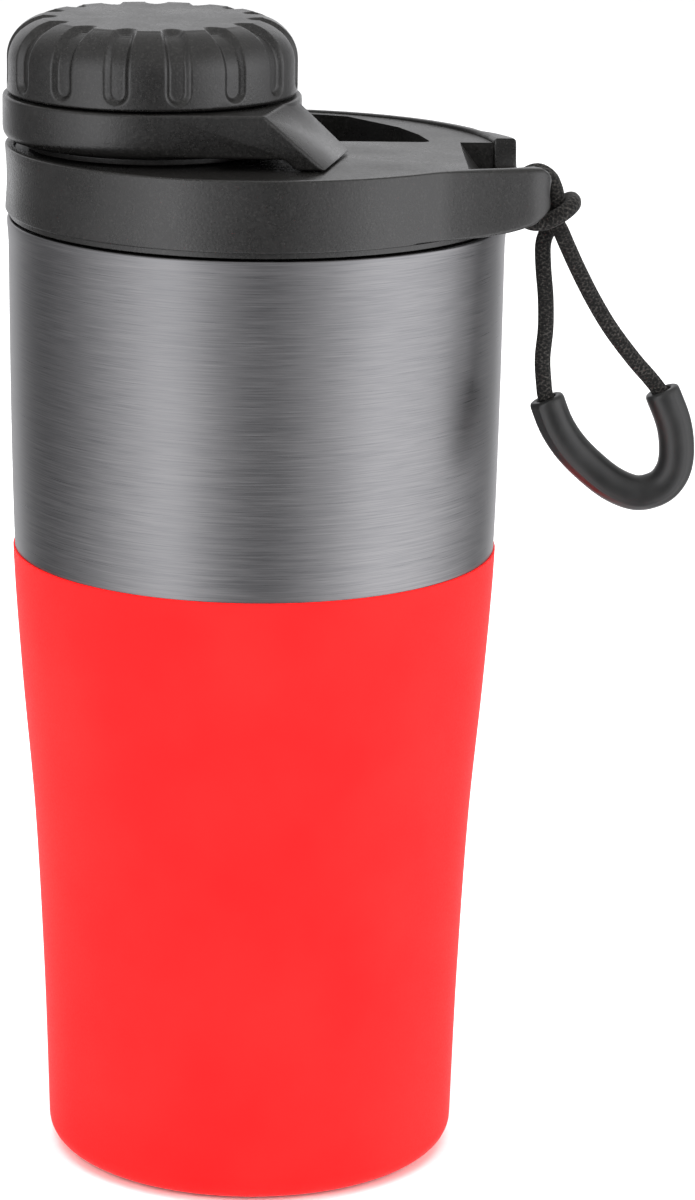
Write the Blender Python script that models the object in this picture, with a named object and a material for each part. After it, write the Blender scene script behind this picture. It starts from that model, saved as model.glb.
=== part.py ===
"""Insulated drinking tumbler with a screw lid, a screw cap over an offset spout, and a pull cord.

Metres, +Z up. The origin is the centre of the base, on the vessel's axis. The spout sits towards -X,
the cord's lug towards +X, and -Y is the front. Each moving group hangs on an empty on its joint's axis.
"""
import math

import bmesh
import bpy
from mathutils import Matrix, Vector

MM = 0.001
GAP = 0.3 * MM
SEGMENTS = 36
FINE_SEGMENTS = 48

# Vessel: (height, outer radius) of the waisted outline, from the base fillet to under the lid
OUTLINE = (
    (4.0 * MM, 35.7 * MM),
    (30.0 * MM, 36.5 * MM),
    (60.0 * MM, 38.0 * MM),
    (85.0 * MM, 40.1 * MM),
    (106.0 * MM, 41.5 * MM),
    (130.0 * MM, 42.1 * MM),
    (162.0 * MM, 42.4 * MM),
)
BASE_FILLET = 4.0 * MM
VESSEL_TOP = 165.2 * MM
COAT_TOP = 108.1 * MM
COAT_THICKNESS = 0.6 * MM
COAT_STEP = 0.3 * MM
SHEET = 0.6 * MM
VACUUM_GAP = 3.0 * MM
LINER_FLOOR = 9.0 * MM
MOUTH_RADIUS = 38.2 * MM
BASE_COVER_RADIUS = 29.5 * MM
PORT_RADIUS = 5.0 * MM
RING_STEP = 32.0 * MM

# Lid
LID_BOTTOM = VESSEL_TOP + GAP
LIP_RADIUS = 42.7 * MM
LIP_HEIGHT = 0.9 * MM
DECK_RADIUS = 40.9 * MM
DECK_TOP = 176.7 * MM
PAN_THICKNESS = 1.5 * MM
RECESS_FLOOR = 171.0 * MM
RECESS_FRONT = 8.0 * MM
PLUG_RADIUS = 36.4 * MM
PLUG_BOTTOM = 150.0 * MM
LID_PITCH = 4.0 * MM
LID_TURNS = 1.5

# Carry band round the lid, with the cord's lug
BAND_INNER = 41.2 * MM
BAND_OUTER = 42.6 * MM
BAND_BOTTOM = LID_BOTTOM + LIP_HEIGHT + GAP
BAND_FRONT_TOP = 178.3 * MM
BAND_REAR_TOP = 177.1 * MM
LUG_FRONT_ANGLE = -46.0
LUG_REAR_ANGLE = 30.0
BAR_BOTTOM = 169.6 * MM
BAR_TOP = 173.8 * MM

# Spout, collar and cap share one axis
SPOUT_X = -17.8 * MM
NECK_RADIUS = 18.3 * MM
NECK_BORE = 15.8 * MM
NECK_TOP = 194.8 * MM
TUBE_RADIUS = 14.4 * MM
TUBE_BORE = 13.0 * MM
COLLAR_RADIUS = 25.2 * MM
COLLAR_BOTTOM = 178.4 * MM
COLLAR_TOP = 186.0 * MM
CAP_RADIUS = 24.45 * MM
CAP_BOTTOM = COLLAR_TOP + GAP
CAP_TOP = 199.3 * MM
CAP_EDGE = 6.3 * MM
CAP_PITCH = 3.0 * MM
CAP_TURNS = 1.5
GROOVES = 15
GROOVE_DEPTH = 1.1 * MM
GROOVE_BOTTOM = 188.4 * MM
GROOVE_PHASE = -78.6

# Pull cord: hitched on the lug's bar, its two strands run down into the ends of a U-shaped grip
CORD_RADIUS = 1.35 * MM
GRIP_RADIUS = 3.0 * MM
GRIP_BORE = 1.7 * MM
KNOT_Y = -15.0 * MM
PIVOT = Vector((49.8, -15.0, 167.4)) * MM

# One half of the hitch, from the tail's start over the bar and back to the crossing piece, as
# (x, distance from the knot's middle plane, z)
HITCH_HALF = (
    (49.5, 1.5, 169.1),
    (49.6, 1.5, 170.8),
    (49.45, 1.5, 172.7),
    (48.55, 1.6, 174.5),
    (46.7, 1.9, 175.45),
    (44.8, 2.4, 174.7),
    (43.55, 2.9, 173.0),
    (43.3, 3.4, 171.0),
    (43.7, 3.9, 169.1),
    (45.3, 4.3, 167.95),
    (47.6, 4.5, 168.0),
    (49.6, 4.5, 168.9),
    (51.2, 4.0, 169.9),
    (52.2, 2.6, 170.6),
    (52.45, 0.9, 170.8),
)
# Strand and grip routes as (x, distance in front of the knot's middle plane, z)
LEFT_STRAND = (
    (49.8, -1.5, 167.4),
    (48.7, -1.5, 165.9),
    (47.8, -1.4, 163.4),
    (47.9, -1.2, 159.4),
    (48.4, -0.9, 154.2),
    (48.5, -0.6, 149.1),
    (48.1, -0.3, 144.0),
    (48.4, 0.0, 139.7),
    (48.8, 0.0, 137.3),
    (50.0, 0.0, 134.0),
)
RIGHT_STRAND = (
    (49.8, 1.5, 167.4),
    (50.6, 1.5, 165.8),
    (51.6, 1.5, 163.6),
    (53.6, 1.3, 159.4),
    (56.3, 1.0, 154.3),
    (59.4, 0.7, 149.3),
    (63.3, 0.3, 144.2),
    (66.2, 0.0, 140.9),
    (68.0, 0.0, 138.6),
    (69.5, 0.0, 135.8),
)
GRIP_ROUTE = (
    (48.8, 0.0, 137.3),
    (50.6, 0.0, 132.8),
    (53.0, 0.0, 129.1),
    (56.2, 0.0, 125.8),
    (60.0, 0.0, 122.8),
    (63.6, 0.0, 121.2),
    (66.3, 0.0, 121.2),
    (69.0, 0.0, 122.5),
    (70.7, 0.0, 125.2),
    (71.1, 0.0, 128.8),
    (70.4, 0.0, 133.4),
    (68.2, 0.0, 138.9),
)


# ---------------------------------------------------------------- tools

def clear_scene():
    for obj in list(bpy.data.objects):
        bpy.data.objects.remove(obj, do_unlink=True)


def material(name, colour, roughness, metallic=0.0):
    mat = bpy.data.materials.new(name)
    mat.use_nodes = True
    shader = mat.node_tree.nodes["Principled BSDF"]
    shader.inputs["Base Color"].default_value = (*colour, 1.0)
    shader.inputs["Roughness"].default_value = roughness
    shader.inputs["Metallic"].default_value = metallic
    return mat


def mesh_object(name, bm, mat):
    """Close off a bmesh as a smooth-shaded object with outward normals."""
    bmesh.ops.recalc_face_normals(bm, faces=bm.faces)
    mesh = bpy.data.meshes.new(name)
    bm.to_mesh(mesh)
    bm.free()
    mesh.shade_smooth()
    mesh.set_sharp_from_angle(angle=math.radians(30.0))
    if mat is not None:
        mesh.materials.append(mat)
    obj = bpy.data.objects.new(name, mesh)
    bpy.context.scene.collection.objects.link(obj)
    return obj


def pivot(name, point, parent=None):
    """An empty on a joint's axis."""
    empty = bpy.data.objects.new(name, None)
    bpy.context.scene.collection.objects.link(empty)
    empty.location = point
    if parent is not None:
        empty.parent = parent
        empty.location = Vector(point) - world_point(parent)
    return empty


def world_point(empty):
    point = Vector(empty.location)
    while empty.parent is not None:
        empty = empty.parent
        point += Vector(empty.location)
    return point


def hang(obj, empty):
    """Parent an object to an empty, its shape staying where it was built."""
    shift = Matrix.Translation(-world_point(empty))
    if obj.type == "CURVE":
        for point in obj.data.splines[0].points:
            point.co = (*(shift @ point.co.to_3d()), 1.0)
    else:
        obj.data.transform(shift)
    obj.parent = empty
    return obj


def revolve(name, outline, mat=None, segments=SEGMENTS, centre=(0.0, 0.0), shape=None):
    """Turn a closed (radius, z) outline about a vertical axis; shape(angle, r, z) may alter a radius."""
    bm = bmesh.new()
    rings = []
    for radius, z in outline:
        if radius == 0.0:
            rings.append([bm.verts.new((centre[0], centre[1], z))])
            continue
        ring = []
        for i in range(segments):
            angle = math.tau * i / segments
            r = shape(angle, radius, z) if shape else radius
            ring.append(bm.verts.new((centre[0] + r * math.cos(angle), centre[1] + r * math.sin(angle), z)))
        rings.append(ring)
    for ring, after in zip(rings, rings[1:] + rings[:1]):
        for i in range(segments):
            j = (i + 1) % segments
            corners = [ring[i % len(ring)], ring[j % len(ring)], after[j % len(after)], after[i % len(after)]]
            corners = list(dict.fromkeys(corners))
            if len(corners) > 2:
                bm.faces.new(corners)
    return mesh_object(name, bm, mat)


def prism(name, polygon, low, high, mat=None, upright=False):
    """A straight-sided block over a polygon of (x, y), or of (x, z) run along Y when upright."""
    bm = bmesh.new()

    def corner(a, b, level):
        return (a, level, b) if upright else (a, b, level)

    bottom = [bm.verts.new(corner(a, b, low)) for a, b in polygon]
    top = [bm.verts.new(corner(a, b, high)) for a, b in polygon]
    bm.faces.new(bottom)
    bm.faces.new(top)
    for i in range(len(polygon)):
        j = (i + 1) % len(polygon)
        bm.faces.new((bottom[i], bottom[j], top[j], top[i]))
    return mesh_object(name, bm, mat)


def hull(name, points, mat=None):
    bm = bmesh.new()
    for point in points:
        bm.verts.new(Vector(point) * MM)
    result = bmesh.ops.convex_hull(bm, input=bm.verts)
    spare = [v for v in result["geom_interior"] if isinstance(v, bmesh.types.BMVert)]
    bmesh.ops.delete(bm, geom=spare, context="VERTS")
    return mesh_object(name, bm, mat)


def combine(target, tool, operation="DIFFERENCE"):
    """Cut or join with a tool object, which is left out of the model itself."""
    tool.hide_render = True
    tool.display_type = "WIRE"
    modifier = target.modifiers.new(tool.name, "BOOLEAN")
    modifier.operation = operation
    modifier.solver = "EXACT"
    modifier.object = tool
    return target


def arc(centre, radius, start, end, steps):
    """Points on an arc in the plane of (x, y) or (radius, z), angles in degrees."""
    points = []
    for i in range(steps + 1):
        angle = math.radians(start + (end - start) * i / steps)
        points.append((centre[0] + radius * math.cos(angle), centre[1] + radius * math.sin(angle)))
    return points


def catmull(points, per_span):
    """A smooth curve through points, with per_span steps between neighbours."""
    points = [Vector(p) for p in points]
    padded = [2 * points[0] - points[1]] + points + [2 * points[-1] - points[-2]]
    curve = []
    for p0, p1, p2, p3 in zip(padded, padded[1:], padded[2:], padded[3:]):
        for i in range(per_span):
            t = i / per_span
            bend = 2 * p0 - 5 * p1 + 4 * p2 - p3
            twist = 3 * p1 - p0 - 3 * p2 + p3
            curve.append(0.5 * (2 * p1 + (p2 - p0) * t + bend * t * t + twist * t * t * t))
    curve.append(points[-1])
    return curve


def route(points, side=-1.0):
    """Route points in world metres; the middle value is measured from the knot's plane."""
    return [Vector((x * MM, KNOT_Y + side * offset * MM, z * MM)) for x, offset, z in points]


def cord(name, points, mat, rounded_start=False):
    """A cord as a round bevelled polyline with filled ends; its start can be domed about its first point."""
    widths = [1.0] * len(points)
    if rounded_start:
        dome = (85.0, 55.0, 25.0)
        above = [points[0] + Vector((0.0, 0.0, CORD_RADIUS * math.sin(math.radians(a)))) for a in dome]
        points = above + points
        widths = [math.cos(math.radians(a)) for a in dome] + widths
    data = bpy.data.curves.new(name, "CURVE")
    data.dimensions = "3D"
    data.bevel_depth = CORD_RADIUS
    data.bevel_resolution = 2
    data.use_fill_caps = True
    spline = data.splines.new("POLY")
    spline.points.add(len(points) - 1)
    for target, point, width in zip(spline.points, points, widths):
        target.co = (*point, 1.0)
        target.radius = width
    data.materials.append(mat)
    obj = bpy.data.objects.new(name, data)
    bpy.context.scene.collection.objects.link(obj)
    return obj


def pipe(name, points, outer, inner, mat, sides=12):
    """A bored tube along points that lie in a vertical plane facing -Y."""
    bm = bmesh.new()
    rings = []
    for i, point in enumerate(points):
        ahead = (points[min(i + 1, len(points) - 1)] - points[max(i - 1, 0)]).normalized()
        across = Vector((0.0, 1.0, 0.0)).cross(ahead).normalized()
        pair = []
        for radius in (outer, inner):
            ring = []
            for k in range(sides):
                angle = math.tau * k / sides
                spoke = across * math.cos(angle) + Vector((0.0, 1.0, 0.0)) * math.sin(angle)
                ring.append(bm.verts.new(point + spoke * radius))
            pair.append(ring)
        rings.append(pair)
    for k in range(sides):
        j = (k + 1) % sides
        for side in (0, 1):
            for here, there in zip(rings, rings[1:]):
                bm.faces.new((here[side][k], here[side][j], there[side][j], there[side][k]))
        for end in (rings[0], rings[-1]):
            bm.faces.new((end[0][k], end[0][j], end[1][j], end[1][k]))
    return mesh_object(name, bm, mat)


def thread(name, root, crest, pitch, turns, first_z, width, centre=(0.0, 0.0)):
    """A helical ridge, sunk a little into its wall at the root and fading out at both ends."""
    steps_per_turn = 24
    steps = round(turns * steps_per_turn)
    fade = 3
    bm = bmesh.new()
    sections = []
    for i in range(steps + 1):
        angle = math.tau * i / steps_per_turn
        z = first_z + pitch * i / steps_per_turn
        rise = min(1.0, (min(i, steps - i) + 0.4) / fade)
        tip = root + (crest - root) * (0.35 + 0.65 * rise)
        corners = ((root, -0.5), (tip, -0.22), (tip, 0.22), (root, 0.5))
        section = []
        for radius, level in corners:
            x = centre[0] + radius * math.cos(angle)
            y = centre[1] + radius * math.sin(angle)
            section.append(bm.verts.new((x, y, z + level * width)))
        sections.append(section)
    for here, there in zip(sections, sections[1:]):
        for k in range(4):
            j = (k + 1) % 4
            bm.faces.new((here[k], here[j], there[j], there[k]))
    bm.faces.new(sections[0])
    bm.faces.new(sections[-1])
    return mesh_object(name, bm, None)


# ---------------------------------------------------------------- vessel

def body_radius(z):
    """The outline's radius at a height, on a smooth curve through its points."""
    heights = [p[0] for p in OUTLINE]
    radii = [p[1] for p in OUTLINE]
    if z >= heights[-1]:
        return radii[-1]
    z = max(z, heights[0])
    i = max(k for k in range(len(heights) - 1) if heights[k] <= z)

    def slope(k):
        low, high = max(k - 1, 0), min(k + 1, len(heights) - 1)
        return (radii[high] - radii[low]) / (heights[high] - heights[low])

    span = heights[i + 1] - heights[i]
    t = (z - heights[i]) / span
    start, end = slope(i) * span, slope(i + 1) * span
    cube, square = t * t * t, t * t
    blend = (2 * cube - 3 * square + 1) * radii[i] + (cube - 2 * square + t) * start
    return blend + (3 * square - 2 * cube) * radii[i + 1] + (cube - square) * end


def heights_between(low, high):
    steps = max(1, round((high - low) / RING_STEP))
    return [low + (high - low) * i / steps for i in range(steps + 1)]


def wall(low, high, inset):
    """Outline points up the vessel's wall, a distance inside its outer surface."""
    return [(body_radius(z) - inset, z) for z in heights_between(low, high)]


def base_corner(inset, floor):
    """The rounded corner between base and wall, from the base outwards."""
    radius = BASE_FILLET - inset
    centre = (body_radius(0.0) - BASE_FILLET, BASE_FILLET)
    corner = arc(centre, radius, -90.0, 0.0, 4)
    return [(r, max(z, floor)) for r, z in corner]


def colour_coat(mat):
    inner = COAT_THICKNESS
    hole = BASE_COVER_RADIUS + GAP
    outline = [(hole, 0.0)] + base_corner(0.0, 0.0)
    outline += wall(BASE_FILLET + RING_STEP / 2, COAT_TOP - 0.2 * MM, 0.0)
    outline += [(body_radius(COAT_TOP) - 0.2 * MM, COAT_TOP), (body_radius(COAT_TOP) - inner, COAT_TOP)]
    outline += reversed(wall(BASE_FILLET + RING_STEP / 2, COAT_TOP - 5 * MM, inner))
    outline += reversed(base_corner(inner, 0.0))
    outline += [(hole, inner)]
    return revolve("lower_colour_coat", outline, mat)


def outer_shell(mat):
    """Steel outer wall; it steps out above the coat and is rolled in a little at its top edge."""
    under = COAT_THICKNESS + GAP
    floor = COAT_THICKNESS + GAP
    step = COAT_TOP + GAP
    outline = [(PORT_RADIUS + GAP, floor)] + base_corner(under, floor)
    outline += wall(BASE_FILLET + RING_STEP / 2, step, under)
    outline += wall(step, 162.0 * MM, COAT_STEP)
    edge = body_radius(VESSEL_TOP) - COAT_STEP
    neck = edge - 0.6 * MM
    top = VESSEL_TOP - SHEET - GAP
    outline += [(edge, 163.0 * MM), (neck, 163.5 * MM), (neck, top)]
    outline += [(neck - SHEET, top), (neck - SHEET, 163.0 * MM)]
    outline += reversed(wall(step - SHEET, 161.5 * MM, COAT_STEP + SHEET))
    outline += reversed(wall(BASE_FILLET + RING_STEP / 2, step - 2 * SHEET, under + SHEET))
    outline += reversed(base_corner(under + SHEET, floor + SHEET))
    outline += [(PORT_RADIUS + GAP, floor + SHEET)]
    return revolve("outer_steel_shell", outline, mat)


def liner_inset():
    return COAT_STEP + SHEET + VACUUM_GAP


def inner_liner(mat):
    """Steel inner cup, its mouth flanged over the outer shell's top edge."""
    outside = liner_inset()
    inside = outside + SHEET
    low = LINER_FLOOR + 4.0 * MM
    flange = body_radius(VESSEL_TOP) - COAT_STEP - 0.6 * MM
    outline = [(0.0, LINER_FLOOR - SHEET), (body_radius(low) - outside - 4.0 * MM, LINER_FLOOR - SHEET)]
    outline += wall(low, 145.0 * MM, outside)
    outline += [(MOUTH_RADIUS + SHEET, 150.0 * MM), (MOUTH_RADIUS + SHEET, VESSEL_TOP - SHEET)]
    outline += [(flange, VESSEL_TOP - SHEET), (flange, VESSEL_TOP), (MOUTH_RADIUS + 0.4 * MM, VESSEL_TOP)]
    outline += [(MOUTH_RADIUS, VESSEL_TOP - 0.4 * MM), (MOUTH_RADIUS, 150.0 * MM)]
    outline += reversed(wall(low, 145.0 * MM, inside))
    outline += [(body_radius(low) - inside - 4.0 * MM, LINER_FLOOR), (0.0, LINER_FLOOR)]
    liner = revolve("inner_steel_liner", outline, mat)
    ridge = thread("liner_thread_tool", MOUTH_RADIUS + 0.3 * MM, MOUTH_RADIUS - 1.2 * MM,
                   LID_PITCH, 1.25, 153.8 * MM, 1.4 * MM)
    return combine(liner, ridge, "UNION")


def disc(name, radius, low, high, mat, centre=(0.0, 0.0), segments=SEGMENTS):
    outline = [(0.0, low), (radius, low), (radius, high), (0.0, high)]
    return revolve(name, outline, mat, segments, centre)


def vessel(root, mats):
    floor = COAT_THICKNESS + GAP
    pieces = [
        outer_shell(mats["steel"]),
        colour_coat(mats["coat"]),
        inner_liner(mats["steel_inner"]),
        disc("base_cover", BASE_COVER_RADIUS, 0.0, SHEET, mats["steel_base"]),
        disc("vacuum_port_seal", PORT_RADIUS, floor, floor + SHEET, mats["seal_glass"], segments=24),
        disc("getter_pellet", 4.0 * MM, 6.4 * MM, LINER_FLOOR - SHEET - GAP, mats["getter"],
             (14.0 * MM, 0.0), 24),
    ]
    for piece in pieces:
        hang(piece, root)


# ---------------------------------------------------------------- lid

def lid_pan(mat):
    """The lid's lower plate, whose lip shows as a thin line under the carry band."""
    top = LID_BOTTOM + PAN_THICKNESS
    lip = LID_BOTTOM + LIP_HEIGHT
    outline = [(0.0, LID_BOTTOM), (LIP_RADIUS, LID_BOTTOM), (LIP_RADIUS, lip), (DECK_RADIUS, lip)]
    outline += [(DECK_RADIUS, top), (0.0, top)]
    pan = revolve("lid_base_plate", outline, mat)
    tube_hole = disc("pan_hole_tool", TUBE_RADIUS + 0.4 * MM, 160.0 * MM, 170.0 * MM, None, (SPOUT_X, 0.0))
    return combine(pan, tube_hole)


def recess_outline():
    """Plan of the dish behind the deck's straight edge, clear of the spout's flange."""
    rim = arc((0.0, 0.0), 38.9 * MM, 66.0, 100.0, 6)
    side = [(29.7 * MM, RECESS_FRONT), (27.8 * MM, 16.0 * MM), (24.5 * MM, 24.0 * MM)]
    flange = arc((SPOUT_X, 0.0), 23.5 * MM, 55.0, 20.0, 5)
    return side + rim + flange


def lid_deck(mat):
    """The lid's top moulding: flat deck, recessed dish at the rear and a notch behind the lug."""
    low = LID_BOTTOM + PAN_THICKNESS + GAP
    outline = [(0.0, low), (DECK_RADIUS, low), (DECK_RADIUS, DECK_TOP - 0.4 * MM)]
    outline += [(DECK_RADIUS - 0.4 * MM, DECK_TOP), (0.0, DECK_TOP)]
    deck = revolve("lid_deck", outline, mat, FINE_SEGMENTS)
    hole = disc("deck_hole_tool", TUBE_RADIUS + 0.4 * MM, 160.0 * MM, 180.0 * MM, None, (SPOUT_X, 0.0))
    combine(deck, hole)
    combine(deck, prism("recess_tool", recess_outline(), RECESS_FLOOR, 180.0 * MM))
    notch = [(34.6, 8.0), (37.0, -15.0), (36.0, -23.0), (46.0, -23.0), (46.0, 8.0)]
    combine(deck, prism("notch_tool", [(x * MM, y * MM) for x, y in notch], 171.5 * MM, 180.0 * MM))
    pocket = arc((0.0, 0.0), 38.9 * MM, 190.0, 318.0, 16) + arc((0.0, 0.0), 28.0 * MM, -42.0, 8.0, 4)
    return combine(deck, prism("pocket_tool", pocket, 160.0 * MM, DECK_TOP - 1.8 * MM))


def lid_plug(mat):
    """Threaded cup under the lid, with a groove for its gasket and a hole for the spout's tube."""
    inner = 33.6 * MM
    top = LID_BOTTOM - GAP
    outline = [(0.0, PLUG_BOTTOM), (PLUG_RADIUS - 1.0 * MM, PLUG_BOTTOM)]
    outline += [(PLUG_RADIUS, PLUG_BOTTOM + 1.0 * MM)]
    outline += [(PLUG_RADIUS, 159.9 * MM), (PLUG_RADIUS - 1.0 * MM, 159.9 * MM)]
    outline += [(PLUG_RADIUS - 1.0 * MM, 162.5 * MM), (PLUG_RADIUS, 162.5 * MM), (PLUG_RADIUS, top)]
    outline += [(inner, top), (inner, PLUG_BOTTOM + 1.2 * MM), (0.0, PLUG_BOTTOM + 1.2 * MM)]
    plug = revolve("lid_plug", outline, mat)
    hole = disc("plug_hole_tool", TUBE_RADIUS + 0.4 * MM, 140.0 * MM, 155.0 * MM, None, (SPOUT_X, 0.0))
    combine(plug, hole)
    ridge = thread("plug_thread_tool", PLUG_RADIUS - 0.4 * MM, PLUG_RADIUS + 1.2 * MM,
                   LID_PITCH, LID_TURNS, 151.8 * MM, 1.4 * MM)
    return combine(plug, ridge, "UNION")


def foam_insert(mat):
    foam = disc("foam_insert", 33.3 * MM, PLUG_BOTTOM + 1.5 * MM, LID_BOTTOM - 2 * GAP, mat)
    hole = disc("foam_hole_tool", TUBE_RADIUS + 0.4 * MM, 140.0 * MM, 170.0 * MM, None, (SPOUT_X, 0.0))
    return combine(foam, hole)


def ring(name, inner, outer, low, high, mat, centre=(0.0, 0.0), bulge=0.0):
    """A flat or slightly bulged ring of rectangular section."""
    middle = (low + high) / 2
    outline = [(inner, low), (outer - bulge, low), (outer, middle), (outer - bulge, high), (inner, high)]
    if bulge == 0.0:
        outline.pop(2)
    return revolve(name, outline, mat, SEGMENTS, centre)


def band_outline():
    """Plan of the carry band: a circle that runs off tangentially into the lug on its +X side."""
    circle = arc((0.0, 0.0), BAND_OUTER, LUG_REAR_ANGLE, 360.0 + LUG_FRONT_ANGLE, 44)
    lug = [(45.2, -26.4), (46.6, -25.9), (47.8, -25.0), (48.4, -23.8), (48.4, -22.4), (48.2, -21.4)]
    lug += [(47.9, -20.6), (47.9, -9.0), (46.4, -2.0), (44.6, 5.0), (44.0, 8.6), (43.0, 10.8)]
    return circle + [(x * MM, y * MM) for x, y in lug]


def lug_slot():
    """Plan of the hole between the band's ring and the lug's bar."""
    ring_side = arc((0.0, 0.0), BAND_OUTER, -31.0, -8.0, 4)
    lug_side = [(45.3, -8.5), (45.3, -20.2), (44.4, -22.6), (42.2, -24.2), (39.6, -25.0)]
    return ring_side + [(x * MM, y * MM) for x, y in lug_side]


def block(name, low, high):
    corners = [(low[0], low[1]), (high[0], low[1]), (high[0], high[1]), (low[0], high[1])]
    return prism(name, [(x * MM, y * MM) for x, y in corners], low[2] * MM, high[2] * MM)


def carry_band(mat):
    band = prism("carry_band", band_outline(), BAND_BOTTOM, BAND_FRONT_TOP, mat)
    bore = disc("band_bore_tool", BAND_INNER, 160.0 * MM, 185.0 * MM, None, segments=FINE_SEGMENTS)
    combine(band, bore)
    combine(band, prism("lug_slot_tool", lug_slot(), 160.0 * MM, 185.0 * MM))
    reach = 60.0 * MM
    slope = [(-reach, BAND_FRONT_TOP + 0.2 * MM), (reach, BAND_REAR_TOP - 0.3 * MM)]
    slope += [(reach, 190.0 * MM), (-reach, 190.0 * MM)]
    tilt = prism("band_slope_tool", slope, -reach, reach, None, upright=True)
    tilt.data.transform(Matrix.Rotation(math.radians(90.0), 4, "Z"))
    combine(band, tilt)
    combine(band, block("return_top_tool", (30.0, -9.0, 172.8), (60.0, 8.0, 190.0)))
    inside = [(30.0, -9.0), (60.0, -9.0), (60.0, -20.9), (48.2, -20.9), (44.6, -22.9), (41.0, -24.2)]
    inside += [(38.0, -25.4), (34.0, -26.9), (32.0, -25.0)]
    combine(band, prism("bar_top_tool", [(x * MM, y * MM) for x, y in inside], BAR_TOP, 190.0 * MM))
    combine(band, block("bar_bottom_tool", (43.0, -21.2, 160.0), (60.0, -8.8, BAR_BOTTOM / MM)))
    for tool, x, across in (("bar_outer_tool", 46.9, 1.1), ("bar_inner_tool", 46.3, -1.1)):
        corner = [(x, BAR_TOP / MM), (x + across, BAR_TOP / MM - 1.1), (x + 3 * across, BAR_TOP / MM - 1.1)]
        corner += [(x + 3 * across, 190.0), (x, 190.0)]
        corner = [(a * MM, z * MM) for a, z in corner]
        combine(band, prism(tool, corner, -20.9 * MM, -8.9 * MM, None, upright=True))
    tip = [(34.0, 165.0), (36.5, 166.2), (39.5, 167.1), (44.4, 168.0), (46.4, 169.3), (47.7, 171.4)]
    tip += [(48.2, 174.0), (47.9, 175.8), (47.1, 177.2), (45.6, 178.1), (45.0, 190.0)]
    tip += [(60.0, 190.0), (60.0, 160.0), (34.0, 160.0)]
    rounding = [(x * MM, z * MM) for x, z in tip]
    return combine(band, prism("lug_tip_tool", rounding, -35.0 * MM, -20.9 * MM, None, upright=True))


def spout_neck(mat):
    """One moulding: the tube through the lid, a flange on the deck and the threaded neck above."""
    outline = [(TUBE_BORE, PLUG_BOTTOM + 0.4 * MM), (TUBE_RADIUS, PLUG_BOTTOM + 0.4 * MM)]
    outline += [(TUBE_RADIUS, DECK_TOP + GAP), (21.0 * MM, DECK_TOP + GAP), (21.0 * MM, COLLAR_BOTTOM - GAP)]
    outline += [(NECK_RADIUS, COLLAR_BOTTOM - GAP), (NECK_RADIUS, NECK_TOP - 0.8 * MM)]
    outline += [(NECK_RADIUS - 0.8 * MM, NECK_TOP), (NECK_BORE + 0.5 * MM, NECK_TOP)]
    outline += [(NECK_BORE, NECK_TOP - 0.5 * MM), (NECK_BORE, DECK_TOP + 4.5 * MM)]
    outline += [(TUBE_BORE, DECK_TOP + 1.0 * MM)]
    neck = revolve("spout_neck", outline, mat, centre=(SPOUT_X, 0.0))
    ridge = thread("neck_thread_tool", NECK_RADIUS - 0.4 * MM, NECK_RADIUS + 1.2 * MM,
                   CAP_PITCH, CAP_TURNS, 188.6 * MM, 1.1 * MM, (SPOUT_X, 0.0))
    return combine(neck, ridge, "UNION")


def spout_collar(mat):
    """Ring round the neck, with an arm that slopes down to the deck."""
    inner = NECK_RADIUS + 0.4 * MM
    outline = [(inner, COLLAR_BOTTOM)]
    outline += arc((COLLAR_RADIUS - 2.0 * MM, COLLAR_BOTTOM + 2.0 * MM), 2.0 * MM, -90.0, 0.0, 3)
    outline += [(COLLAR_RADIUS, COLLAR_TOP - 0.6 * MM), (COLLAR_RADIUS - 0.6 * MM, COLLAR_TOP)]
    outline += [(inner, COLLAR_TOP)]
    collar = revolve("spout_collar", outline, mat, FINE_SEGMENTS, (SPOUT_X, 0.0))
    foot = DECK_TOP / MM + 0.3
    top = COLLAR_TOP / MM
    underside = COLLAR_BOTTOM / MM
    arm = [(-17.5, -25.0, top), (0.7, -25.0, top), (6.6, -1.0, top), (9.2, -25.0, underside + 0.4)]
    arm += [(-17.5, -25.0, underside + 0.6), (4.4, -25.0, underside + 0.4), (3.0, -5.0, underside + 0.2)]
    arm += [(13.1, -9.6, underside + 0.4), (3.0, -5.0, top - 1.0)]
    leg = [(6.2, -25.0, foot), (11.2, -25.0, foot), (15.0, -9.6, foot), (9.0, -2.0, foot + 1.0)]
    leg += [(5.5, -10.0, foot), (3.4, -24.9, 179.8), (7.8, -24.9, 179.8), (11.6, -9.7, 179.8)]
    leg += [(4.0, -6.0, 179.8)]
    combine(collar, hull("arm_tool", arm), "UNION")
    combine(collar, hull("leg_tool", leg), "UNION")
    clear = disc("collar_hole_tool", inner, 170.0 * MM, 190.0 * MM, None, (SPOUT_X, 0.0))
    combine(collar, clear)
    flange = disc("flange_room_tool", 21.0 * MM + GAP, 170.0 * MM, COLLAR_BOTTOM, None, (SPOUT_X, 0.0))
    return combine(collar, flange)


def lid(lid_pivot, seal_pivot, mats):
    black = mats["black"]
    pieces = [
        lid_pan(black),
        lid_deck(black),
        lid_plug(mats["inner_black"]),
        foam_insert(mats["foam"]),
        carry_band(mats["band"]),
        spout_neck(mats["inner_black"]),
        spout_collar(black),
    ]
    for piece in pieces:
        hang(piece, lid_pivot)
    seal = ring("lid_gasket", PLUG_RADIUS - 0.7 * MM, 37.9 * MM, 160.2 * MM, 162.2 * MM, mats["silicone"],
                bulge=0.7 * MM)
    hang(seal, seal_pivot)


# ---------------------------------------------------------------- cap

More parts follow.
